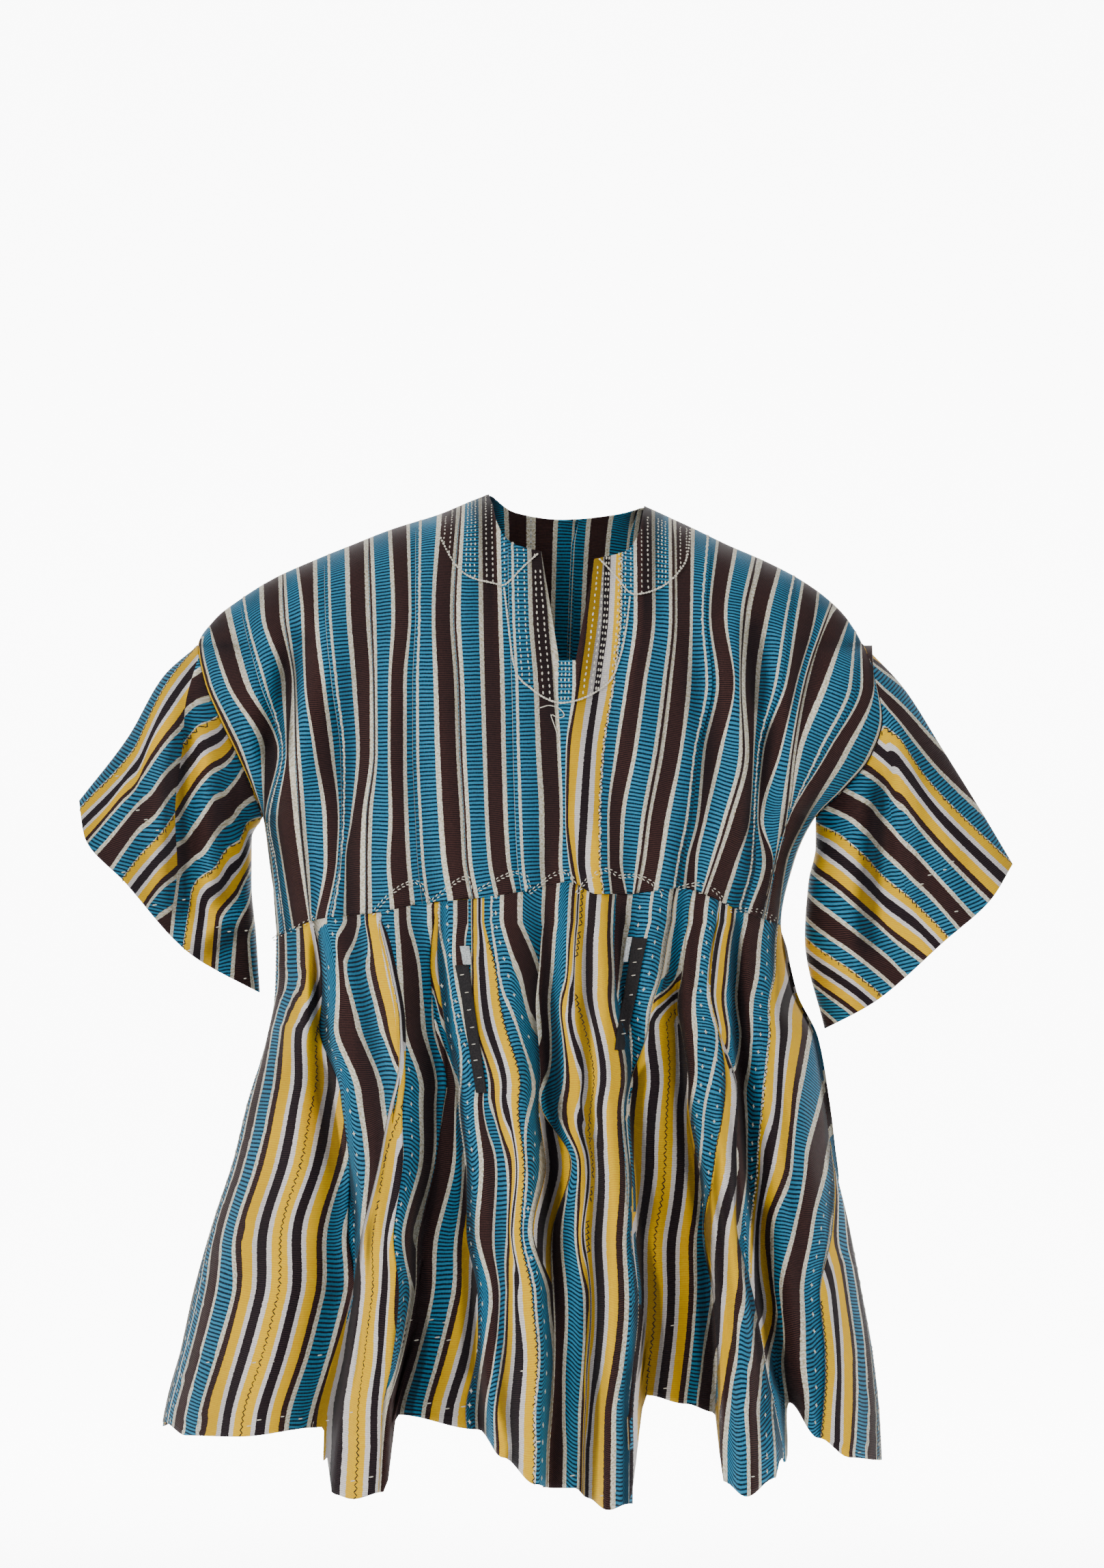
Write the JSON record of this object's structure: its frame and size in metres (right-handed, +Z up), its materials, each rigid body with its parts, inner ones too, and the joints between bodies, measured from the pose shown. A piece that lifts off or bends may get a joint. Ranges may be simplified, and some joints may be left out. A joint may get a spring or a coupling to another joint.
{
  "type": "smock",
  "caption": "Handwoven striped cotton smock, worn: wide plain bodice, slit neck with chain-stitch embroidery, short wide sleeves and a skirt of deep folds below a gather line.",
  "frame": {"origin": "middle of the neck at the height of the two neck points, in the plane of the shoulders", "axes": "+Z up, the front faces -Y, +X towards the right of the picture"},
  "size_m": [0.7665, 0.4651, 0.7907],
  "materials": {
    "striped_cloth": "matte ribbed handwoven cotton",
    "pocket_edge": "matte",
    "pocket_lining": "matte"
  },
  "bodies": {
    "root": {"front_bodice": "striped_cloth", "back_bodice": "striped_cloth", "front_skirt": "striped_cloth", "back_skirt": "striped_cloth", "sleeve_left": "striped_cloth", "sleeve_right": "striped_cloth", "pocket_edge_left": "pocket_edge", "pocket_edge_right": "pocket_edge", "pocket_lining_left": "pocket_lining", "pocket_lining_right": "pocket_lining"}
  },
  "joints": []
}
